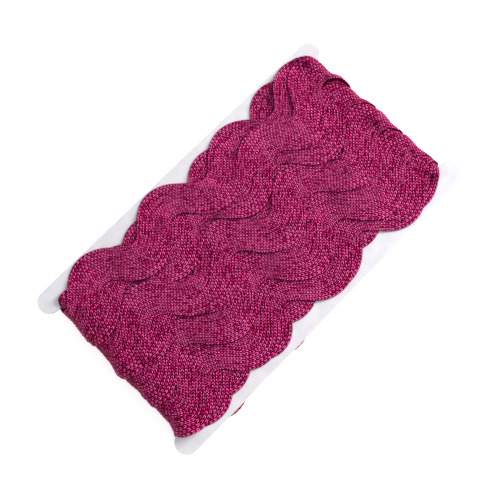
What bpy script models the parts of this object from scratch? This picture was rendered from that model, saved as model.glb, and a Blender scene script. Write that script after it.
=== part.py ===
"""Roll of ric rac: a wide wavy braid wound lengthwise round a flat card with a notch in each end.

Metres and +Z up in the model. X runs along the card and Y across it. The roll lies on the back of its
winding, with the origin on the surface under the middle of its box. The sizes below are in millimetres, and
MM turns them into metres where a mesh is made.
"""

import math

import bpy
import numpy as np

MM = 0.001
NAME = "ric_rac_roll"

# Card
CARD_HALF_LENGTH = 105.6
CARD_HALF_WIDTH = 58.3
CARD_THICKNESS = 1.5
CARD_EDGE = 0.25
SHARP_ANGLE = 60.0
TAB_RADIUS = 6.5
TAB_STEPS = 20
NOTCH_FLOOR = 94.0
NOTCH_CORNER = 1.0
CORNER_STEPS = 5
CLEARANCE = 0.3
# The origin is under the middle of the roll's box, and the winding reaches further to -Y than the card
CARD_MIDDLE_Y = 0.49

# Braid, laid as a wave whose crests point to +Y
BRAID_HALF_WIDTH = 10.6
BRAID_THICKNESS = 0.85
PRESSED_THICKNESS = 0.42
WAVE_HEIGHT = 7.8
WAVE_LENGTH = 51.5
OUTER_SPREAD = 0.6
INNER_SPREAD = 0.1
EDGE_MARGIN = 20.0
EDGE_STEP = 0.5

# Winding: two flat faces joined by half rounds over the notch floors
TURN_CENTRE = 93.6
TURN_RADIUS = 1.15
ARC_LENGTH = 17.8
FACE_LENGTH = 2.0 * TURN_CENTRE
LOOP_LENGTH = 2.0 * (FACE_LENGTH + ARC_LENGTH)
NOTCH_LIMIT = CARD_HALF_WIDTH - 2.0 * TAB_RADIUS - CLEARANCE
REST_HEIGHT = 5.2
FLARE = 0.4
FLARE_WIDTH = 4.0
# Near the faces the winding still lies high over the tabs and hangs over them by up to this much
OVERHANG = 9.0
OVERHANG_SHARE = 0.7
# On the faces it may reach past the card's long edges by this much
PAST_EDGE = 2.0

# First turns, which later ones hide: passes that step across the card and back
HIDDEN_MEANS = (28.0, 14.0, 0.0, -14.0, -28.0, -22.0, -8.0, 8.0, 20.0, 28.0)
HIDDEN_FIRST_CREST = -70.0
HIDDEN_SHIFT = 13.0

# Later turns in the order of winding. Each row: name, distance wound at its five crests (the first just
# round the left end and four on the front), y of the middle of the wave at those crests, and how far
# the pass on the back swings to -Y.
TURNS = (
    ("under_top", (-143.0, -91.5, -39.4, 11.9, 64.3), (31.0, 31.7, 32.4, 34.5, 38.6), 0.0),
    ("under_high", (-131.5, -80.0, -28.4, 23.2, 74.9), (15.0, 15.2, 16.2, 16.2, 17.1), 0.0),
    ("under_low", (-121.6, -70.1, -18.5, 33.2, 84.8), (-16.0, -16.6, -17.6, -18.6, -19.6), 0.0),
    ("under_rim", (-138.0, -87.0, -35.3, 16.5, 68.2), (-35.4, -35.3, -33.0, -30.8, -28.8), 0.0),
    ("rim", (-103.0, -53.0, -11.0, 47.6, 108.0), (-37.0, -37.5, -35.4, -37.3, -37.0), 8.6),
    ("low", (-110.0, -66.1, -15.2, 39.8, 93.5), (-33.5, -34.2, -35.4, -38.2, -39.0), 0.0),
    ("lower_middle", (-118.0, -66.7, -14.1, 35.9, 87.5), (-9.3, -14.3, -19.7, -25.2, -30.1), 0.0),
    ("inner_middle", (-108.0, -57.0, -7.0, 48.0, 100.0), (14.0, -2.0, -0.5, 10.0, 13.0), 0.0),
    ("middle", (-117.5, -66.2, -13.7, 38.2, 89.2), (10.8, 6.7, 1.4, -5.0, -8.8), 0.0),
    ("upper_middle", (-124.0, -63.7, -12.8, 37.2, 88.1), (39.0, 33.0, 29.5, 18.5, 13.8), 0.0),
    ("high", (-124.0, -62.2, -12.8, 40.1, 88.5), (37.0, 29.2, 25.0, 22.9, 34.6), 0.0),
    ("last", (-124.0, -72.6, -22.1, 30.8, 82.8), (39.0, 39.0, 38.9, 36.9, 38.4), 0.0),
)
SWING_X = -51.0
SWING_SPREAD = 30.0
# The last turn ends on the back, tucked under the turn before it from here on
TUCK_START = 18.0
TAIL_END = 200.0

# Height map of the stacked turns
CELL = 1.0
MAP_HALF_WIDTH = 64.0
BRIDGE_CELLS = 1
SOFTEN_PASSES = 4
LEAST_WEIGHT = 0.05

# Stations and lines of the winding's mesh
FACE_STATIONS = 60
ARC_STATIONS = 7
STEP_HALF_WIDTH = 0.6
LINE_GAP = 0.22
STEP_EDGES = (
    ("last", 1),
    ("high", 1),
    ("last", -1),
    ("high", -1),
    ("upper_middle", -1),
    ("middle", -1),
    ("inner_middle", -1),
    ("lower_middle", -1),
    ("low", -1),
    ("rim", -1),
)
BLEND_LENGTH = 55.0
INNER_LINES = 4

# Plain finishes: linear red, green and blue, roughness and metallic share
CARD_FINISH = ((0.82, 0.80, 0.84), 0.45, 0.0)
BRAID_FINISH = ((0.30, 0.010, 0.10), 0.5, 0.3)


def clear_scene():
    """Remove every object, so that only the roll is left."""
    for thing in list(bpy.data.objects):
        bpy.data.objects.remove(thing, do_unlink=True)


def make_material(name, colour, roughness, metallic):
    """Return a plain Principled material."""
    material = bpy.data.materials.new(name)
    material.use_nodes = True
    shader = material.node_tree.nodes["Principled BSDF"]
    shader.inputs["Base Color"].default_value = (*colour, 1.0)
    shader.inputs["Roughness"].default_value = roughness
    shader.inputs["Metallic"].default_value = metallic
    return material


def arc(centre_x, centre_y, radius, start, end, steps):
    """Points of an arc from one angle to another, both in degrees and both included."""
    angles = np.radians(np.linspace(start, end, steps + 1))
    return [(centre_x + radius * math.cos(a), centre_y + radius * math.sin(a)) for a in angles]


def card_outline():
    """Outline of the card: four round tabs, and between each end's pair a notch with round corners."""
    tab_x = CARD_HALF_LENGTH - TAB_RADIUS
    tab_y = CARD_HALF_WIDTH - TAB_RADIUS
    corner_x = NOTCH_FLOOR + NOTCH_CORNER
    corner_y = tab_y - TAB_RADIUS - NOTCH_CORNER
    right = arc(tab_x, -tab_y, TAB_RADIUS, -90.0, 90.0, TAB_STEPS)
    right += arc(corner_x, -corner_y, NOTCH_CORNER, 270.0, 180.0, CORNER_STEPS)
    right += arc(corner_x, corner_y, NOTCH_CORNER, 180.0, 90.0, CORNER_STEPS)
    right += arc(tab_x, tab_y, TAB_RADIUS, -90.0, 90.0, TAB_STEPS)
    left = [(-x, -y) for x, y in right]
    return right + left


def make_card(collection, material, middle):
    """The card: a flat outline as thick as the card, with its edges eased, lying at the height middle."""
    curve = bpy.data.curves.new("card_outline", "CURVE")
    curve.dimensions = "2D"
    curve.fill_mode = "BOTH"
    curve.extrude = 0.5 * CARD_THICKNESS * MM
    points = card_outline()
    spline = curve.splines.new("POLY")
    spline.points.add(len(points) - 1)
    spline.use_cyclic_u = True
    for point, (x, y) in zip(spline.points, points):
        point.co = (x * MM, y * MM, 0.0, 1.0)
    guide = bpy.data.objects.new("card_guide", curve)
    collection.objects.link(guide)
    evaluated = guide.evaluated_get(bpy.context.evaluated_depsgraph_get())
    mesh = bpy.data.meshes.new_from_object(evaluated)
    bpy.data.objects.remove(guide, do_unlink=True)
    card = bpy.data.objects.new("card", mesh)
    card.location = (0.0, CARD_MIDDLE_Y * MM, middle * MM)
    mesh.materials.clear()
    mesh.materials.append(material)
    collection.objects.link(card)
    weld = card.modifiers.new("weld", "WELD")
    weld.merge_threshold = 0.00001
    bevel = card.modifiers.new("eased_edge", "BEVEL")
    bevel.width = CARD_EDGE * MM
    bevel.segments = 1
    bevel.limit_method = "ANGLE"
    bevel.angle_limit = math.radians(SHARP_ANGLE)
    return card


def all_turns():
    """Every turn in winding order, as (name, crests, means, swing)."""
    turns = []
    for number, mean in enumerate(HIDDEN_MEANS):
        shift = (number * HIDDEN_SHIFT) % WAVE_LENGTH
        first = HIDDEN_FIRST_CREST - 0.5 * WAVE_LENGTH + shift
        crests = tuple(first + WAVE_LENGTH * k for k in range(-1, 4))
        turns.append((f"hidden_{number}", crests, (mean,) * len(crests), 0.0))
    return turns + list(TURNS)


def braid_path(turns):
    """Knots of the whole braid: distance wound, count of waves, and the y of the wave's middle.

    A turn has its five crests. Over the rest of the back the waves share the distance to the next front
    pass evenly, in the whole number of waves that comes nearest to the braid's own wave length.
    """
    distance, waves, means = [], [], []
    for number, (_, crests, middles, _) in enumerate(turns):
        for crest, middle in zip(crests, middles):
            here = number * LOOP_LENGTH + crest
            if distance and crest == crests[0]:
                waves.append(waves[-1] + max(1, round((here - distance[-1]) / WAVE_LENGTH)))
            else:
                waves.append(waves[-1] + 1 if waves else 0)
            distance.append(here)
            means.append(middle)
    return np.array(distance), np.array(waves, float), np.array(means)


def centre_line(turns, path, wound):
    """Phase and y of the braid's middle at each distance wound."""
    distance, waves, means = path
    before = distance[0] - WAVE_LENGTH
    after = distance[-1] + 5.0 * WAVE_LENGTH
    distance = np.concatenate([[before], distance, [after]])
    waves = np.concatenate([[waves[0] - 1], waves, [waves[-1] + 5]])
    means = np.concatenate([[means[0]], means, [means[-1]]])
    phase = 2.0 * math.pi * np.interp(wound, distance, waves)
    # The middle is averaged over a third of a wave, so that it bends instead of kinking
    offsets = np.linspace(-WAVE_LENGTH / 6.0, WAVE_LENGTH / 6.0, 9)
    middle = np.mean([np.interp(wound + o, distance, means) for o in offsets], axis=0)
    for number, (_, _, _, swing) in enumerate(turns):
        if swing:
            place = number * LOOP_LENGTH + FACE_LENGTH + ARC_LENGTH - SWING_X
            middle = middle - swing * np.exp(-0.5 * ((wound - place) / SWING_SPREAD) ** 2)
    return phase, middle + WAVE_HEIGHT * np.cos(phase)


def turn_edges(turns, path, number, columns):
    """y of the +Y and the -Y edge of one turn at each column of the loop.

    Each edge is the middle line moved out by half the width, square to it on the outside of a bend
    and nearly straight across on the inside, as the braid's threads crowd there.
    """
    wound = number * LOOP_LENGTH + np.arange(columns[0] - EDGE_MARGIN, columns[-1] + EDGE_MARGIN, EDGE_STEP)
    phase, y = centre_line(turns, path, wound)
    slope = np.gradient(y, wound)
    middle_spread = 0.5 * (OUTER_SPREAD + INNER_SPREAD)
    half_range = 0.5 * (OUTER_SPREAD - INNER_SPREAD)
    edges = []
    for side in (1.0, -1.0):
        lean = (middle_spread + side * half_range * np.cos(phase)) * slope
        length = np.sqrt(1.0 + lean**2)
        edge_x = wound - side * BRAID_HALF_WIDTH * lean / length
        edge_y = y + side * BRAID_HALF_WIDTH / length
        edges.append(np.interp(number * LOOP_LENGTH + columns, edge_x, edge_y))
    return edges


def notch_share(columns):
    """How far each column is into the half round at an end: 0 on a face and 1 at the middle."""
    right = (columns - TURN_CENTRE) / ARC_LENGTH
    left = (columns - TURN_CENTRE - FACE_LENGTH - ARC_LENGTH) / ARC_LENGTH
    inside = lambda t: np.where((t > 0.0) & (t < 1.0), np.sin(math.pi * np.clip(t, 0.0, 1.0)), 0.0)
    return inside(right) + inside(left)


def shifted_max(heights, reach):
    """The highest value within reach cells, round the loop and across it."""
    best = heights
    for axis in (0, 1):
        source = best
        for step in range(-reach, reach + 1):
            best = np.maximum(best, np.roll(source, step, axis=axis))
    return best


def softened(heights, passes):
    """The map blurred by passes of a short average."""
    for _ in range(passes):
        for axis in (0, 1):
            heights = 0.5 * heights + 0.25 * (np.roll(heights, 1, axis) + np.roll(heights, -1, axis))
    return heights


def lay(stack, covered, thickness):
    """Lay one turn on the stack: it bridges the steps under it and adds its own thickness."""
    under = shifted_max(np.where(covered, stack, 0.0), BRIDGE_CELLS)
    weight = softened(covered.astype(float), SOFTEN_PASSES)
    under = softened(np.where(covered, under, 0.0), SOFTEN_PASSES) / np.maximum(weight, LEAST_WEIGHT)
    return np.where(covered, np.maximum(under, stack) + thickness, stack)


def stack_turns(turns, path, columns, rows):
    """Height of the winding over the card, and each turn's two edges at every column."""
    stack = np.zeros((len(columns), len(rows)))
    edges = {}
    covers = {}
    for number, (name, _, _, _) in enumerate(turns):
        high, low = turn_edges(turns, path, number, columns)
        edges[name] = (high, low)
        covers[name] = (rows[None, :] <= high[:, None]) & (rows[None, :] >= low[:, None])
    for number, name in enumerate(edges):
        thickness = PRESSED_THICKNESS if number < len(HIDDEN_MEANS) else BRAID_THICKNESS
        covered = covers[name]
        if name == "high":
            covered = covered & (columns < TUCK_START)[:, None]
        if name == "last":
            covered = covered & (columns < TAIL_END)[:, None]
        stack = lay(stack, covered, thickness)
    tucked = covers["high"] & (columns >= TUCK_START)[:, None]
    return lay(stack, tucked, BRAID_THICKNESS), edges


def sample(grid, columns, rows, at_column, at_row):
    """Read the map between its cells, at arrays of places that have the same shape."""
    i = np.clip((at_column - columns[0]) / CELL, 0, len(columns) - 1.001)
    j = np.clip((at_row - rows[0]) / CELL, 0, len(rows) - 1.001)
    i0, j0 = i.astype(int), j.astype(int)
    u, v = i - i0, j - j0
    near = grid[i0, j0] * (1 - v) + grid[i0, j0 + 1] * v
    far = grid[i0 + 1, j0] * (1 - v) + grid[i0 + 1, j0 + 1] * v
    return near * (1 - u) + far * u


def loop_stations():
    """Distances round the loop at which the winding has a section."""
    face = np.linspace(-TURN_CENTRE, TURN_CENTRE, FACE_STATIONS + 1)
    turn = TURN_CENTRE + ARC_LENGTH * np.arange(1, ARC_STATIONS) / ARC_STATIONS
    half = np.concatenate([face, turn])
    return np.concatenate([half, half + FACE_LENGTH + ARC_LENGTH])


def section_lines(edges, columns, stations):
    """y of every line of the mesh at every station, from the +Y rim to the -Y rim.

    A pair of lines follows each edge that shows, one on the turn above and one on the turn below.
    """
    top = np.max([pair[0] for pair in edges.values()], axis=0)
    bottom = np.min([pair[1] for pair in edges.values()], axis=0)
    share = notch_share(columns)
    over_tab = NOTCH_LIMIT + OVERHANG * np.maximum(1.0 - share / OVERHANG_SHARE, 0.0)
    limit = np.where(share > 0.0, over_tab, CARD_HALF_WIDTH + PAST_EDGE)
    read = lambda values: np.interp(stations, columns, values)
    top = read(np.minimum(top, limit))
    bottom = read(np.maximum(bottom, -limit))
    lines = [top]
    for name, side in STEP_EDGES:
        edge = read(edges[name][0 if side > 0 else 1])
        lines += [edge + STEP_HALF_WIDTH, edge - STEP_HALF_WIDTH]
    lines.append(bottom)
    lines = np.array(lines)
    count = len(lines)
    order = np.arange(count)[:, None] * LINE_GAP
    lines = np.minimum(lines, top)
    lines = np.minimum.accumulate(lines + order, axis=0) - order
    lines = np.maximum(lines, bottom + order[::-1])
    # Each turn ends where the next begins, so over the last stretch of the back every line moves
    # across to the place where the front starts it
    start = TURN_CENTRE + ARC_LENGTH + FACE_LENGTH - BLEND_LENGTH
    blend = np.clip((stations - start) / (BLEND_LENGTH + ARC_LENGTH), 0.0, 1.0)
    blend = blend * blend * (3.0 - 2.0 * blend)
    rim_share = (lines - bottom) / (top - bottom)
    rim_share = rim_share * (1.0 - blend) + rim_share[:, :1] * blend
    lines = bottom + (top - bottom) * rim_share
    wide = [lines[0]]
    for k in range(1, count):
        if k % 2 == 1:
            wide.append(0.5 * (lines[k - 1] + lines[k]))
        wide.append(lines[k])
    return np.array(wide)


def on_roll(wound, y, height, middle):
    """Places on the roll, in metres: distance round the loop, y, and height over the card's face."""
    radius = TURN_RADIUS + height
    right = wound - TURN_CENTRE
    back = right - ARC_LENGTH
    left = back - FACE_LENGTH
    angle = 0.5 * math.pi - math.pi * np.clip(right / ARC_LENGTH, 0.0, 1.0)
    angle = angle - math.pi * np.clip(left / ARC_LENGTH, 0.0, 1.0)
    back_x = TURN_CENTRE - np.clip(back, 0.0, FACE_LENGTH)
    straight = np.where(back < 0.0, np.minimum(wound, TURN_CENTRE), back_x)
    x = straight + radius * np.cos(angle)
    z = np.maximum(middle + radius * np.sin(angle), 0.0)
    return np.stack([x, y + CARD_MIDDLE_Y, z], axis=-1) * MM


def winding_sections(turns, path):
    """Closed sections of the winding, one at each station round the loop, as (wound, y, height)."""
    columns = np.arange(-TURN_CENTRE, LOOP_LENGTH - TURN_CENTRE + CELL, CELL)
    rows = np.arange(-MAP_HALF_WIDTH, MAP_HALF_WIDTH + CELL, CELL)
    stack, edges = stack_turns(turns, path, columns, rows)
    stations = loop_stations()
    lines = section_lines(edges, columns, stations)
    wound = np.broadcast_to(stations, lines.shape)
    inside = np.clip(lines, lines[-1] + CELL, lines[0] - CELL)
    heights = sample(stack, columns, rows, wound, inside)
    heights = np.maximum(heights, BRAID_THICKNESS)
    on_back = (stations > TURN_CENTRE) & (stations < TURN_CENTRE + FACE_LENGTH + 2.0 * ARC_LENGTH)
    heights = np.where(on_back & (notch_share(stations) == 0.0), np.minimum(heights, REST_HEIGHT), heights)
    crowd = np.clip(FLARE_WIDTH - NOTCH_LIMIT - lines, 0.0, FLARE_WIDTH) * notch_share(stations)
    heights = heights + FLARE * crowd
    share = np.linspace(1.0, 0.0, INNER_LINES)[:, None]
    inner = lines[-1] * share + lines[0] * (1.0 - share)
    sections_y = np.concatenate([lines, inner])
    sections_h = np.concatenate([heights, np.zeros_like(inner)])
    return np.broadcast_to(stations, sections_y.shape), sections_y, sections_h


def make_winding(collection, material, middle):
    """The winding as one closed ring: its sections joined round the card."""
    turns = all_turns()
    wound, y, height = winding_sections(turns, braid_path(turns))
    points = on_roll(wound, y, height, middle)
    lines, stations = y.shape
    faces = []
    for i in range(stations):
        for k in range(lines):
            here, above = k * stations, ((k + 1) % lines) * stations
            after = (i + 1) % stations
            faces.append((here + i, above + i, above + after, here + after))
    mesh = bpy.data.meshes.new("winding")
    mesh.from_pydata(points.reshape(-1, 3).tolist(), [], faces)
    mesh.materials.append(material)
    mesh.update()
    winding = bpy.data.objects.new("winding", mesh)
    collection.objects.link(winding)
    return winding


def main():
    """Build the card and the winding round it."""
    clear_scene()
    collection = bpy.data.collections.new(NAME)
    bpy.context.scene.collection.children.link(collection)
    middle = TURN_RADIUS + REST_HEIGHT
    plastic = make_material("white_plastic", *CARD_FINISH)
    braid = make_material("metallic_braid", *BRAID_FINISH)
    make_card(collection, plastic, middle)
    make_winding(collection, braid, middle)


main()
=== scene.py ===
"""Looks of a roll of ric rac: a wide wavy braid of metallic yarn wound lengthwise round a notched card.

The braid is one long flat plait. It is worked out here as it was wound, turn after turn, on a height map of
what already lies on the card. Sizes are in millimetres until MM turns them into metres.
"""
import math

import bpy
import numpy as np
from mathutils import Matrix, Vector


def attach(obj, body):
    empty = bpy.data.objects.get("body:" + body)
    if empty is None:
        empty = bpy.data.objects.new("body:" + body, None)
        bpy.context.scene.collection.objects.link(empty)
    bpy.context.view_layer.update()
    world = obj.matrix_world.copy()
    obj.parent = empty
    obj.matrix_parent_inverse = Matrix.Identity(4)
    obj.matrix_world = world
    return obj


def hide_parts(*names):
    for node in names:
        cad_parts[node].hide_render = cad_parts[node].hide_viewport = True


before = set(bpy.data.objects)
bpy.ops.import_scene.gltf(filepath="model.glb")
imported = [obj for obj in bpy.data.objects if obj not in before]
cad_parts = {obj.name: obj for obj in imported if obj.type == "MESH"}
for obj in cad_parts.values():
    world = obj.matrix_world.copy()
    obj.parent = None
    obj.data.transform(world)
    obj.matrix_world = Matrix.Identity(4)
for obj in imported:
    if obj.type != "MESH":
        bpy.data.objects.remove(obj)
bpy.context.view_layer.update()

MM = 0.001

# Card, as the frame has it
CARD_HALF_WIDTH = 58.3
TAB_RADIUS = 6.5
CLEARANCE = 0.3
CARD_MIDDLE_Y = 0.49

# Braid, laid as a wave whose crests point to +Y
BRAID_HALF_WIDTH = 10.6
BRAID_THICKNESS = 0.85
PRESSED_THICKNESS = 0.42
WAVE_HEIGHT = 7.8
WAVE_LENGTH = 51.5
OUTER_SPREAD = 0.6
INNER_SPREAD = 0.1

# Winding: two flat faces joined by half rounds over the notch floors
TURN_CENTRE = 93.6
TURN_RADIUS = 1.15
ARC_LENGTH = 17.8
FACE_LENGTH = 2.0 * TURN_CENTRE
LOOP_LENGTH = 2.0 * (FACE_LENGTH + ARC_LENGTH)
HALF_LOOP = 0.5 * LOOP_LENGTH
NOTCH_LIMIT = CARD_HALF_WIDTH - 2.0 * TAB_RADIUS - CLEARANCE
REST_HEIGHT = 5.2

# First turns, which later ones hide: passes that step across the card and back
HIDDEN_MEANS = (28.0, 14.0, 0.0, -14.0, -28.0, -22.0, -8.0, 8.0, 20.0, 28.0)
HIDDEN_FIRST_CREST = -70.0
HIDDEN_SHIFT = 13.0

# Later turns in the order of winding. Each row: name, distance wound at its five crests (the first just
# round the left end and four on the front), y of the middle of the wave at those crests, and how far
# the pass on the back swings to -Y.
TURNS = (
    ("under_top", (-143.0, -91.5, -39.4, 11.9, 64.3), (31.0, 31.7, 32.4, 34.5, 38.6), 0.0),
    ("under_high", (-131.5, -80.0, -28.4, 23.2, 74.9), (15.0, 15.2, 16.2, 16.2, 17.1), 0.0),
    ("under_low", (-121.6, -70.1, -18.5, 33.2, 84.8), (-16.0, -16.6, -17.6, -18.6, -19.6), 0.0),
    ("under_rim", (-138.0, -87.0, -35.3, 16.5, 68.2), (-35.4, -35.3, -33.0, -30.8, -28.8), 0.0),
    ("rim", (-103.0, -53.0, -11.0, 47.6, 108.0), (-37.0, -37.5, -35.4, -37.3, -37.0), 8.6),
    ("low", (-110.0, -66.1, -15.2, 39.8, 93.5), (-33.5, -34.2, -35.4, -38.2, -39.0), 0.0),
    ("lower_middle", (-118.0, -66.7, -14.1, 35.9, 87.5), (-9.3, -14.3, -19.7, -25.2, -30.1), 0.0),
    ("inner_middle", (-108.0, -57.0, -7.0, 48.0, 100.0), (14.0, -2.0, -0.5, 10.0, 13.0), 0.0),
    ("middle", (-117.5, -66.2, -13.7, 38.2, 89.2), (10.8, 6.7, 1.4, -5.0, -8.8), 0.0),
    ("upper_middle", (-124.0, -63.7, -12.8, 37.2, 88.1), (39.0, 33.0, 29.5, 18.5, 13.8), 0.0),
    ("high", (-124.0, -62.2, -12.8, 40.1, 88.5), (37.0, 29.2, 25.0, 22.9, 34.6), 0.0),
    ("last", (-124.0, -72.6, -22.1, 30.8, 82.8), (39.0, 39.0, 38.9, 36.9, 38.4), 0.0),
)
SWING_X = -51.0
SWING_SPREAD = 30.0
# The last turn ends on the back, tucked under the turn before it from here on
TUCK_START = 18.0
TAIL_END = 200.0

# Height map of the stacked turns
CELL = 1.0
MAP_HALF_WIDTH = 64.0
BRIDGE_CELLS = 1
SOFTEN_PASSES = 4

EASE_LENGTH = 9.0

# How the ends of the winding are drawn in between the tabs, by distance from the middle of a half round
SQUEEZE_FULL = 9.0
SQUEEZE_NONE = 14.0
SQUEEZE_SOFT = 3.0
SQUEEZE_RISE = 0.3
OVERHANG_SLOPE = 2.7
OVERHANG_START = 1.0
# How much further the winding stands out at each end than its turns alone make it, where they crowd
# against the tabs or lie loose. Each row: y, left end, right end.
END_PROFILE = (
    (-50.0, 5.0, 3.0),
    (-45.0, 5.0, 2.5),
    (-39.0, 1.0, 0.0),
    (-30.0, -0.6, -1.4),
    (-22.0, -1.4, -1.0),
    (-15.0, 0.5, 0.2),
    (-8.0, 1.8, 2.4),
    (-2.0, 2.2, 2.8),
    (4.0, 0.5, 1.4),
    (12.0, -1.1, -0.8),
    (18.0, -1.3, -0.4),
    (24.0, -2.3, -1.0),
    (33.0, -1.7, -0.3),
    (42.0, -0.4, 1.8),
    (48.0, 1.4, 2.4),
)
# Height of the winding at which a row that draws it in counts in full
END_FULL_HEIGHT = 4.5

# Edges that stand up off what they lie on, or are pressed into it. Each row: turn, side, distance wound,
# spread along, lift
LIFTED_EDGES = (
    ("last", -1.0, 15.0, 7.0, 2.0),
    ("last", 1.0, 70.0, 9.0, 2.0),
    ("high", -1.0, 96.0, 8.0, 2.0),
    ("high", -1.0, 62.0, 10.0, 0.8),
    ("high", -1.0, -48.0, 10.0, -0.7),
    ("last", -1.0, -18.0, 9.0, 0.6),
    ("last", -1.0, -70.0, 10.0, 0.4),
    ("middle", -1.0, -5.0, 8.0, 0.6),
)

# The plait: rows of stitches that run along the braid, side by side across it
ROWS = 11
ROW_RELIEF = 0.3
ROW_POINTS = 4
# Longer than a real stitch of this yarn, which is too fine to show in the render
STITCH_LENGTH = 1.6
UNDERSIDE_POINTS = 8
EDGE_POWER = 10.0

# Pieces the braid is made in, by the turns they hold: name, first turn, last turn, step along, rows shown
BRAID_PIECES = (
    ("braid_core", 0, 9, 2.5, False),
    ("braid_under_layer", 10, 13, 1.0, True),
    ("braid_lower_layer", 14, 17, 1.0, True),
    ("braid_top_layer", 18, 21, 1.0, True),
)

# Nodes of the yarn. Each row: name, kind, settings, inputs. A text among the inputs is linked to the node
# of that name, at its first output or at the one named after the point.
YARN_NODES = (
    ("place", "UVMap", {"uv_map": "plait"}, {}),
    ("split", "SeparateXYZ", {}, {0: "place"}),
    ("opened", "Attribute", {"attribute_name": "opened"}, {}),
    # Each row is two lines of stitches that meet in a V, and every other row is set half a stitch on
    ("row_number", "Math", {"operation": "FLOOR"}, {0: "split.Y"}),
    ("in_row", "Math", {"operation": "FRACT"}, {0: "split.Y"}),
    ("from_middle", "Math", {"operation": "SUBTRACT"}, {0: "in_row", 1: 0.5}),
    ("off_middle", "Math", {"operation": "ABSOLUTE"}, {0: "from_middle"}),
    ("leaning", "Math", {"operation": "MULTIPLY_ADD"}, {0: "off_middle", 1: 1.5, 2: "split.X"}),
    ("slanted", "Math", {"operation": "MULTIPLY_ADD"}, {0: "row_number", 1: 0.5, 2: "leaning"}),
    ("line", "Math", {"operation": "MULTIPLY"}, {0: "split.Y", 1: 2.0}),
    ("line_number", "Math", {"operation": "FLOOR"}, {0: "line"}),
    ("stitch_number", "Math", {"operation": "FLOOR"}, {0: "slanted"}),
    # A random draw per stitch, for the painted glint it gets and for its roughness and height
    ("cell", "CombineXYZ", {}, {"X": "stitch_number", "Y": "line_number"}),
    ("chance", "TexWhiteNoise", {"noise_dimensions": "2D"}, {"Vector": "cell"}),
    # Relief: a dome over each stitch, for the bump, and in the colour a painted shade towards each stitch's
    # rim
    ("in_stitch", "Math", {"operation": "FRACT"}, {0: "slanted"}),
    ("stitch_angle", "Math", {"operation": "MULTIPLY"}, {0: "in_stitch", 1: math.pi}),
    ("bead", "Math", {"operation": "SINE"}, {0: "stitch_angle"}),
    ("in_line", "Math", {"operation": "FRACT"}, {0: "line"}),
    ("line_angle", "Math", {"operation": "MULTIPLY"}, {0: "in_line", 1: math.pi}),
    ("rib", "Math", {"operation": "SINE"}, {0: "line_angle"}),
    ("dome", "Math", {"operation": "MULTIPLY"}, {0: "bead", 1: "rib"}),
    ("relief", "Math", {"operation": "POWER"}, {0: "dome", 1: 1.4}),
    # Painted shade in the groove between two rows, darker where the braid is bent
    ("to_groove", "Math", {"operation": "SUBTRACT"}, {0: 0.5, 1: "off_middle"}),
    ("groove_share", "Math", {"operation": "MULTIPLY"}, {0: "to_groove", 1: 2.0}),
    ("groove_round", "Math", {"operation": "POWER"}, {0: "groove_share", 1: 0.5}),
    ("groove_drop", "Math", {"operation": "SUBTRACT"}, {0: "groove_round", 1: 1.0}),
    ("groove_shade_strength", "Math", {"operation": "MULTIPLY_ADD"}, {0: "opened.Fac", 1: 0.6, 2: 0.25}),
    ("groove", "Math", {"operation": "MULTIPLY_ADD"}, {0: "groove_drop", 1: "groove_shade_strength", 2: 1.0}),
    # Lighter and darker lengths along each line
    ("streak_x", "Math", {"operation": "MULTIPLY"}, {0: "split.X", 1: 0.12}),
    ("streak_y", "Math", {"operation": "MULTIPLY"}, {0: "line_number", 1: 7.3}),
    ("streak_place", "CombineXYZ", {}, {"X": "streak_x", "Y": "streak_y"}),
    ("streak", "TexNoise", {}, {"Vector": "streak_place", "Scale": 1.0, "Detail": 2.0}),
    # Tone from 0, a gap in painted shade, to 1, foil with a painted glint
    ("painted_stitch_glint", "Math", {"operation": "MULTIPLY_ADD"}, {0: "chance", 1: 1.2, 2: 0.25}),
    ("lit", "Math", {"operation": "MULTIPLY_ADD"}, {0: "streak", 1: 1.1, 2: "painted_stitch_glint"}),
    ("raised", "Math", {"operation": "MULTIPLY"}, {0: "relief", 1: "lit"}),
    ("tone", "Math", {"operation": "MULTIPLY"}, {0: "raised", 1: "groove"}),
    ("ramp", "ValToRGB", {}, {"Fac": "tone"}),
    ("shine", "Math", {"operation": "MULTIPLY_ADD"}, {0: "chance", 1: 0.2, 2: 0.25}),
    ("height", "Math", {"operation": "MULTIPLY_ADD"}, {0: "chance", 1: 0.3, 2: "relief"}),
    ("bump", "Bump", {}, {"Strength": 1.0, "Distance": 0.6 * MM, "Height": "height"}),
)
# Colours of the tone: painted shade at the dark end, the yarn's magenta in the middle, painted glint at the
# pale end
YARN_SHADE_COLOUR_AND_GLINT_STOPS = ((0.0, "#0C0003"), (0.2, "#5A0222"), (0.45, "#C80A5C"), (0.75, "#FF3096"), (1.0, "#FF7CC0"))

# Nodes of the card's plastic, in the same form
SHEET_NODES = (
    ("place", "TexCoord", {}, {}),
    ("mottle", "TexNoise", {}, {"Vector": "place.Object", "Scale": 1.0 / (6.0 * MM), "Detail": 3.0}),
    ("grain", "TexNoise", {}, {"Vector": "place.Object", "Scale": 1.0 / (0.6 * MM), "Detail": 2.0}),
    ("ramp", "ValToRGB", {}, {"Fac": "mottle"}),
    ("shine", "Math", {"operation": "MULTIPLY_ADD"}, {0: "mottle", 1: 0.15, 2: 0.38}),
    ("bump", "Bump", {}, {"Strength": 0.25, "Distance": 0.05 * MM, "Height": "grain"}),
)
SHEET_STOPS = ((0.35, "#CFCCD2"), (0.7, "#D8D5DB"))

# Camera, from where the photograph shows the card's corners
CAMERA_TARGET = (-5.786, CARD_MIDDLE_Y - 4.485, 6.0)
CAMERA_AZIMUTH = -38.632
CAMERA_ELEVATION = 74.442
CAMERA_ROLL = -7.268
CAMERA_DISTANCE = 466.80
CAMERA_LENS = 63.2066
CAMERA_SENSOR = 36.0


def linear(hex_colour):
    """An sRGB hex colour as linear red, green, blue and full alpha."""
    parts = [int(hex_colour[i : i + 2], 16) / 255.0 for i in (1, 3, 5)]
    parts = [c / 12.92 if c <= 0.04045 else ((c + 0.055) / 1.055) ** 2.4 for c in parts]
    return (*parts, 1.0)


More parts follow.
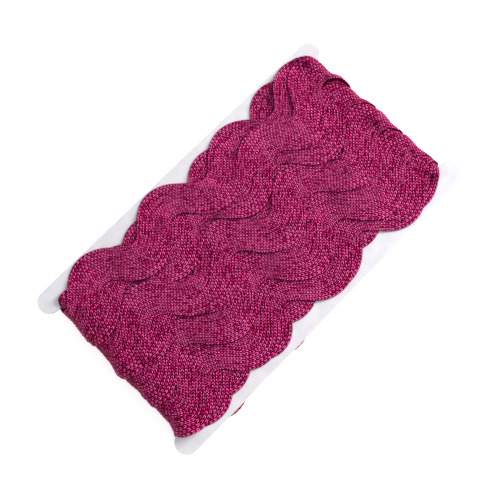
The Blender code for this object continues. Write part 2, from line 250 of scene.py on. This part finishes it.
def all_turns():
    """Every turn in winding order, as (name, crests, means, swing)."""
    turns = []
    for number, mean in enumerate(HIDDEN_MEANS):
        shift = (number * HIDDEN_SHIFT) % WAVE_LENGTH
        first = HIDDEN_FIRST_CREST - 0.5 * WAVE_LENGTH + shift
        crests = tuple(first + WAVE_LENGTH * k for k in range(-1, 4))
        turns.append((f"hidden_{number}", crests, (mean,) * len(crests), 0.0))
    return turns + list(TURNS)


def braid_path(turns):
    """Knots of the whole braid: distance wound, count of waves, and the y of the wave's middle.

    A turn has its five crests. Over the rest of the back the waves share the distance to the next front
    pass evenly, in the whole number of waves that comes nearest to the braid's own wave length.
    """
    distance, waves, means = [], [], []
    for number, (_, crests, middles, _) in enumerate(turns):
        for crest, middle in zip(crests, middles):
            here = number * LOOP_LENGTH + crest
            if distance and crest == crests[0]:
                waves.append(waves[-1] + max(1, round((here - distance[-1]) / WAVE_LENGTH)))
            else:
                waves.append(waves[-1] + 1 if waves else 0)
            distance.append(here)
            means.append(middle)
    before = distance[0] - 5.0 * WAVE_LENGTH
    after = distance[-1] + 5.0 * WAVE_LENGTH
    distance = np.array([before, *distance, after])
    waves = np.array([waves[0] - 5, *waves, waves[-1] + 5], float)
    return distance, waves, np.array([means[0], *means, means[-1]])


def centre_line(turns, path, wound):
    """Phase and y of the braid's middle at each distance wound: a cosine wave about a middle that drifts."""
    distance, waves, means = path
    phase = 2.0 * math.pi * np.interp(wound, distance, waves)
    # The middle is averaged over a third of a wave, so that it bends instead of kinking
    offsets = np.linspace(-WAVE_LENGTH / 6.0, WAVE_LENGTH / 6.0, 9)
    middle = np.mean([np.interp(wound + o, distance, means) for o in offsets], axis=0)
    for number, (_, _, _, swing) in enumerate(turns):
        if swing:
            place = number * LOOP_LENGTH + FACE_LENGTH + ARC_LENGTH - SWING_X
            middle = middle - swing * np.exp(-0.5 * ((wound - place) / SWING_SPREAD) ** 2)
    return phase, middle + WAVE_HEIGHT * np.cos(phase)


def braid_sheet(turns, path, wound, across):
    """Distance wound and y of the braid's points, over its length and its width (-1 to 1).

    A point lies out from the middle line by its share of half the width, leaning with the line's slope:
    square to the line on the outside of a bend, and nearly straight across on the inside, where the
    threads crowd.
    """
    phase, y = centre_line(turns, path, wound)
    slope = np.gradient(y, wound)
    middle_spread = 0.5 * (OUTER_SPREAD + INNER_SPREAD)
    half_range = 0.5 * (OUTER_SPREAD - INNER_SPREAD)
    lean = (middle_spread + across[None, :] * half_range * np.cos(phase)[:, None]) * slope[:, None]
    reach = across[None, :] * BRAID_HALF_WIDTH / np.sqrt(1.0 + lean**2)
    run = np.concatenate([[0.0], np.cumsum(np.hypot(np.diff(wound), np.diff(y)))])
    return wound[:, None] - lean * reach, y[:, None] + reach, run, slope


def turn_edges(turns, path, number, columns):
    """y of the +Y and the -Y edge of one turn at each column of the loop."""
    wound = number * LOOP_LENGTH + np.arange(columns[0] - 20.0, columns[-1] + 20.0, 0.5)
    edge_x, edge_y, _, _ = braid_sheet(turns, path, wound, np.array([1.0, -1.0]))
    return [np.interp(number * LOOP_LENGTH + columns, edge_x[:, k], edge_y[:, k]) for k in (0, 1)]


def shifted_max(heights, reach):
    """The highest value within reach cells, round the loop and across it."""
    best = heights
    for axis in (0, 1):
        source = best
        for step in range(-reach, reach + 1):
            best = np.maximum(best, np.roll(source, step, axis=axis))
    return best


def softened(heights, passes):
    """The map blurred by passes of a short average."""
    for _ in range(passes):
        for axis in (0, 1):
            heights = 0.5 * heights + 0.25 * (np.roll(heights, 1, axis) + np.roll(heights, -1, axis))
    return heights


def bed(stack, covered):
    """Height of the underside of a turn laid on the stack: it bridges the steps under it."""
    under = shifted_max(np.where(covered, stack, 0.0), BRIDGE_CELLS)
    weight = softened(covered.astype(float), SOFTEN_PASSES)
    under = softened(np.where(covered, under, 0.0), SOFTEN_PASSES) / np.maximum(weight, 0.05)
    return np.maximum(under, np.where(covered, stack, 0.0))


def turn_thickness(number):
    """Thickness of the braid in one turn: the first turns are pressed by all that lies on them."""
    return PRESSED_THICKNESS if number < len(HIDDEN_MEANS) else BRAID_THICKNESS


def wind_turns(turns, path):
    """Height of each turn's underside over the card's face, on one long map of the whole braid.

    A turn runs from the middle of the back to the middle of the back, so the map has the turns
    one after the other. The last turn but one is laid again over the last one, past the tuck.
    """
    columns = np.arange(-HALF_LOOP, HALF_LOOP, CELL)
    rows = np.arange(-MAP_HALF_WIDTH, MAP_HALF_WIDTH + CELL, CELL)
    stack = np.zeros((len(columns), len(rows)))
    beds, covers = [], []
    final = len(turns) - 1
    for number in range(len(turns)):
        high, low = turn_edges(turns, path, number, columns)
        covers.append((rows[None, :] <= high[:, None]) & (rows[None, :] >= low[:, None]))
        covered = covers[number]
        if number == final - 1:
            covered = covered & (columns < TUCK_START)[:, None]
        if number == final:
            covered = covered & (columns < TAIL_END)[:, None]
        under = bed(stack, covered)
        beds.append(under)
        stack = np.where(covered, under + turn_thickness(number), stack)
    tucked = covers[final - 1] & (columns >= TUCK_START)[:, None]
    beds[final - 1] = np.where((columns >= TUCK_START)[:, None], bed(stack, tucked), beds[final - 1])
    return np.concatenate(beds), rows


def sample(grid, rows, wound, y):
    """Read the long map between its cells, at arrays of distances wound and of y."""
    i = np.clip((wound + HALF_LOOP) / CELL, 0, grid.shape[0] - 1.001)
    j = np.clip((y - rows[0]) / CELL, 0, len(rows) - 1.001)
    i0, j0 = i.astype(int), j.astype(int)
    u, v = i - i0, j - j0
    near = grid[i0, j0] * (1 - v) + grid[i0, j0 + 1] * v
    far = grid[i0 + 1, j0] * (1 - v) + grid[i0 + 1, j0 + 1] * v
    return near * (1 - u) + far * u


def averaged(values, half_window):
    """Running mean down the first axis over 2 * half_window + 1 rows, the ends held."""
    padded = np.concatenate([values[:1].repeat(half_window, 0), values, values[-1:].repeat(half_window, 0)])
    total = np.cumsum(np.concatenate([np.zeros_like(padded[:1]), padded]), axis=0)
    width = 2 * half_window + 1
    return (total[width:] - total[:-width]) / width


def smooth_step(low, high, values):
    """0 below low, 1 above high, and an S curve between them."""
    share = np.clip((values - low) / (high - low), 0.0, 1.0)
    return share * share * (3.0 - 2.0 * share)


def from_end(wound):
    """Distance along the braid from the middle of the nearest half round."""
    return np.abs(np.mod(wound + HALF_LOOP, HALF_LOOP) - 0.5 * HALF_LOOP)


def notch_squeeze(wound, y, height, outer):
    """Draw the braid in between the tabs at each end of the card.

    Near a notch the reach in y shrinks from past the card's edge to the notch's own width, and a
    strand that is still high over the tab may hang over it by its own height. What would lie outside
    crowds up against that limit and rises by a share of what it lost. The turns that show (outer is 1
    for them and 0 for the rest) also stand out by the ends' profile.
    """
    along = from_end(wound)
    near_end = 1.0 - smooth_step(SQUEEZE_FULL, SQUEEZE_NONE, along)
    places, left, right = np.array(END_PROFILE).T
    at_right = np.abs(np.mod(wound, LOOP_LENGTH) - 0.25 * LOOP_LENGTH) < 0.25 * LOOP_LENGTH
    stand = np.where(at_right, np.interp(y, places, right), np.interp(y, places, left))
    weight = np.where(stand > 0.0, outer, np.clip(height / END_FULL_HEIGHT, 0.0, 1.0) ** 2)
    height = height + stand * near_end * weight
    turned = np.sin(0.5 * math.pi * np.clip(2.0 * along / ARC_LENGTH, 0.0, 1.0))
    over_tab = np.maximum((TURN_RADIUS + height) * turned - OVERHANG_START, 0.0)
    limit = MAP_HALF_WIDTH * (1.0 - near_end) + (NOTCH_LIMIT + OVERHANG_SLOPE * over_tab) * near_end
    start = limit - SQUEEZE_SOFT
    over = np.maximum(np.abs(y) - start, 0.0)
    held = start + SQUEEZE_SOFT * np.tanh(over / SQUEEZE_SOFT)
    drawn = np.where(over > 0.0, np.sign(y) * held, y)
    return drawn, height + SQUEEZE_RISE * near_end * (np.abs(y) - np.abs(drawn))


def on_roll(wound, y, height, middle):
    """Places on the roll, in metres: distance wound, y, and height over the card's face."""
    wound = np.mod(wound + TURN_CENTRE, LOOP_LENGTH) - TURN_CENTRE
    radius = TURN_RADIUS + height
    right = wound - TURN_CENTRE
    back = right - ARC_LENGTH
    left = back - FACE_LENGTH
    angle = 0.5 * math.pi - math.pi * np.clip(right / ARC_LENGTH, 0.0, 1.0)
    angle = angle - math.pi * np.clip(left / ARC_LENGTH, 0.0, 1.0)
    back_x = TURN_CENTRE - np.clip(back, 0.0, FACE_LENGTH)
    straight = np.where(back < 0.0, np.minimum(wound, TURN_CENTRE), back_x)
    x = straight + radius * np.cos(angle)
    z = np.maximum(middle + radius * np.sin(angle), 0.0)
    return np.stack([x, y + CARD_MIDDLE_Y, z], axis=-1) * MM


def ring_mesh(name, points, uv, values):
    """A closed skin through rings of points, with a cap on each end ring.

    points is rings by points by 3. uv and values give each point its pattern place and its named
    numbers, which the material reads.
    """
    rings, count = points.shape[:2]
    index = np.arange(rings * count).reshape(rings, count)
    here, after = index[:-1], index[1:]
    quads = np.stack([here, after, np.roll(after, -1, 1), np.roll(here, -1, 1)], axis=-1).reshape(-1)
    corners = np.concatenate([quads, index[0], index[-1, ::-1]])
    starts = np.arange(0, len(quads), 4)
    starts = np.concatenate([starts, [len(quads), len(quads) + count]])
    mesh = bpy.data.meshes.new(name)
    mesh.vertices.add(rings * count)
    mesh.vertices.foreach_set("co", points.reshape(-1).astype(np.float32))
    mesh.loops.add(len(corners))
    mesh.loops.foreach_set("vertex_index", corners.astype(np.int32))
    mesh.polygons.add(len(starts))
    mesh.polygons.foreach_set("loop_start", starts.astype(np.int32))
    mesh.polygons.foreach_set("use_smooth", np.ones(len(starts), bool))
    layer = mesh.uv_layers.new(name="plait")
    layer.data.foreach_set("uv", uv.reshape(-1, 2)[corners].reshape(-1).astype(np.float32))
    for key, numbers in values.items():
        attribute = mesh.attributes.new(key, "FLOAT", "POINT")
        attribute.data.foreach_set("value", numbers.reshape(-1).astype(np.float32))
    mesh.update()
    mesh.validate()
    piece = bpy.data.objects.new(name, mesh)
    bpy.context.scene.collection.objects.link(piece)
    return piece


def make_braid_piece(turns, path, winding_map, row, material, middle):
    """One stretch of the braid, as wide as it is wound, with its rows of stitches raised.

    Over the width the top is a flat plait: rounded rows side by side, and edges that turn down to
    half the thickness. The underside is plain.
    """
    name, first, last, step, raised = row
    grid, rows = winding_map
    start = first * LOOP_LENGTH - HALF_LOOP
    end = last * LOOP_LENGTH + (TAIL_END if last == len(turns) - 1 else HALF_LOOP)
    wound = np.linspace(start, end, int(round((end - start) / step)) + 1)
    points = ROWS * (ROW_POINTS if raised else 1) + 1
    top = np.linspace(-1.0, 1.0, points)
    below = np.linspace(1.0, -1.0, UNDERSIDE_POINTS + 2)[1:-1]
    across = np.concatenate([top, below])
    place, y, run, slope = braid_sheet(turns, path, wound, across)
    # The long map holds one turn after another, so its steps at the back's middle are eased out
    lift = sample(grid, rows, place, y)
    eased = averaged(lift, int(round(EASE_LENGTH / step)))
    seam = np.abs(np.mod(wound + 2.0 * HALF_LOOP, LOOP_LENGTH) - HALF_LOOP)
    tuck = np.abs(wound - (len(turns) - 2) * LOOP_LENGTH - TUCK_START)
    share = np.exp(-((np.minimum(seam, tuck) / EASE_LENGTH) ** 2))[:, None]
    lift = averaged(lift, 1) * (1.0 - share) + eased * share
    for turn, side, at, spread, rise in LIFTED_EDGES:
        centre = at + LOOP_LENGTH * [named[0] for named in turns].index(turn)
        bump = np.exp(-(((wound - centre) / spread) ** 2))[:, None]
        lift = lift + rise * bump * smooth_step(0.2, 1.0, side * across)[None, :]
    number = np.clip(np.floor((wound + HALF_LOOP) / LOOP_LENGTH), 0, len(turns) - 1)
    thickness = np.where(number < len(HIDDEN_MEANS), PRESSED_THICKNESS, BRAID_THICKNESS)[:, None]
    edge = np.sqrt(np.maximum(1.0 - np.abs(across) ** EDGE_POWER, 0.0))
    on_top = np.arange(len(across)) < points
    side = np.where(on_top, 1.0, -1.0)
    height = lift + 0.5 * thickness * (1.0 + side * edge)[None, :]
    row_place = 0.5 * (across + 1.0) * ROWS
    # Deeper rows and painted groove shade where the braid runs up aslant and where it bends round an end
    bend = smooth_step(0.1, 0.75, slope)
    opened = np.maximum(bend, 1.0 - smooth_step(12.0, 34.0, from_end(wound)))[:, None]
    if raised:
        rib = np.abs(np.sin(math.pi * row_place)) ** 0.8 * on_top * edge
        height = height + ROW_RELIEF * (rib - 1.0)[None, :] * on_top * (0.4 + 0.6 * opened)
    y, height = notch_squeeze(place, y, height, float(raised))
    uv = np.stack(np.broadcast_arrays(run[:, None] / STITCH_LENGTH, row_place[None, :]), axis=-1)
    opened = np.broadcast_to(opened, place.shape)
    piece = ring_mesh(name, on_roll(place, y, height, middle), uv, {"opened": opened})
    piece.data.materials.append(material)
    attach(piece, "root")
    return piece


def add_node(material, made, name, kind, settings, inputs):
    """Add one node with its settings and links to a material, and keep it in made under its name.

    An input that is a text is linked: to the first output of the node of that name, or to the output
    named after the point.
    """
    tree = material.node_tree
    node = tree.nodes.new("ShaderNode" + kind)
    for key, value in settings.items():
        setattr(node, key, value)
    for key, value in inputs.items():
        if isinstance(value, str):
            source, _, output = value.partition(".")
            tree.links.new(made[source].outputs[output or 0], node.inputs[key])
        else:
            node.inputs[key].default_value = value
    made[name] = node


def patterned_material(name, rows, stops, linked, fixed):
    """A material from a table of nodes: stops colour its ramp, linked and fixed feed its shader."""
    material = bpy.data.materials.new(name)
    material.use_nodes = True
    tree = material.node_tree
    shader = tree.nodes["Principled BSDF"]
    made = {}
    for row in rows:
        add_node(material, made, *row)
    elements = made["ramp"].color_ramp.elements
    while len(elements) < len(stops):
        elements.new(0.5)
    for element, (position, colour) in zip(elements, stops):
        element.position = position
        element.color = linear(colour)
    for key, source in linked.items():
        tree.links.new(made[source].outputs[0], shader.inputs[key])
    for key, value in fixed.items():
        shader.inputs[key].default_value = value
    return material


def metallic_yarn_material():
    """Plaited metallic yarn: foil-wrapped thread, magenta, in rows of slanted stitches.

    Each stitch is a bead of foil with a painted glint of its own, so neighbours sparkle or go dark,
    and the gaps between stitches and rows are painted near black as shade.
    """
    linked = {"Base Color": "ramp", "Roughness": "shine", "Normal": "bump"}
    fixed = {"Metallic": 0.4, "Specular IOR Level": 0.2, "Specular Tint": linear("#FF58B0")}
    return patterned_material("plaited_metallic_yarn", YARN_NODES, YARN_SHADE_COLOUR_AND_GLINT_STOPS, linked, fixed)


def card_material():
    """Die-cut white plastic sheet: smooth and slightly cool, with the faint mottle of its rolling."""
    linked = {"Base Color": "ramp", "Roughness": "shine", "Normal": "bump"}
    return patterned_material("die_cut_plastic_sheet", SHEET_NODES, SHEET_STOPS, linked, {})


def floor_material():
    """Opal acrylic table lit from below: even white, so that shadows all but vanish on it."""
    material = bpy.data.materials.new("lit_opal_table")
    material.use_nodes = True
    shader = material.node_tree.nodes["Principled BSDF"]
    shader.inputs["Base Color"].default_value = linear("#F7F7F8")
    shader.inputs["Roughness"].default_value = 0.9
    shader.inputs["Emission Color"].default_value = linear("#FFFFFF")
    shader.inputs["Emission Strength"].default_value = 0.45
    return material


def make_floor():
    """A wide flat sheet at the height that the roll rests on."""
    reach = 3.0
    mesh = bpy.data.meshes.new("floor")
    corners = [(-reach, -reach, 0.0), (reach, -reach, 0.0), (reach, reach, 0.0), (-reach, reach, 0.0)]
    mesh.from_pydata(corners, [], [(0, 1, 2, 3)])
    floor = bpy.data.objects.new("floor", mesh)
    bpy.context.scene.collection.objects.link(floor)
    mesh.materials.append(floor_material())


def make_camera():
    """The camera at the photograph's angle, turned a little about its own line of sight."""
    azimuth, elevation, roll = map(math.radians, (CAMERA_AZIMUTH, CAMERA_ELEVATION, CAMERA_ROLL))
    back = Vector(
        (
            math.sin(azimuth) * math.cos(elevation),
            -math.cos(azimuth) * math.cos(elevation),
            math.sin(elevation),
        )
    )
    right = Vector((0.0, 0.0, 1.0)).cross(back).normalized()
    up = back.cross(right)
    turned_right = right * math.cos(roll) + up * math.sin(roll)
    turned_up = up * math.cos(roll) - right * math.sin(roll)
    data = bpy.data.cameras.new("camera")
    data.lens = CAMERA_LENS
    data.sensor_width = CAMERA_SENSOR
    data.clip_start = 0.01
    data.clip_end = 20.0
    camera = bpy.data.objects.new("camera", data)
    turn = Matrix((turned_right, turned_up, back)).transposed().to_4x4()
    place = (Vector(CAMERA_TARGET) + back * CAMERA_DISTANCE) * MM
    camera.matrix_world = Matrix.Translation(place) @ turn
    bpy.context.scene.collection.objects.link(camera)
    bpy.context.scene.camera = camera


def make_light(name, place, size, power):
    """A square soft box that faces the roll."""
    data = bpy.data.lights.new(name, "AREA")
    data.shape = "SQUARE"
    data.size = size
    data.energy = power
    light = bpy.data.objects.new(name, data)
    light.location = place
    light.rotation_euler = (-Vector(place)).to_track_quat("-Z", "Y").to_euler()
    bpy.context.scene.collection.objects.link(light)


def make_studio():
    """Soft boxes over and beside the roll, and an even pale surround."""
    world = bpy.data.worlds.new("studio")
    bpy.context.scene.world = world
    bpy.context.scene.view_settings.view_transform = "Standard"
    world.use_nodes = True
    background = world.node_tree.nodes["Background"]
    background.inputs["Color"].default_value = linear("#FFFFFF")
    background.inputs["Strength"].default_value = 0.45
    make_light("key_box", (1.0, -0.3, 0.55), 0.6, 21.0)
    make_light("fill_box", (-0.3, -0.5, 1.2), 0.9, 5.0)


def main():
    """Dress the card and wind the braid round it."""
    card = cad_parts["card"]
    plastic = card_material()
    for slot in card.material_slots:
        slot.material = plastic
    turns = all_turns()
    path = braid_path(turns)
    winding_map = wind_turns(turns, path)
    yarn = metallic_yarn_material()
    middle = TURN_RADIUS + REST_HEIGHT
    pieces = [make_braid_piece(turns, path, winding_map, row, yarn, middle) for row in BRAID_PIECES]
    for piece in pieces:
        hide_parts("winding")
    make_floor()
    make_camera()
    make_studio()


main()
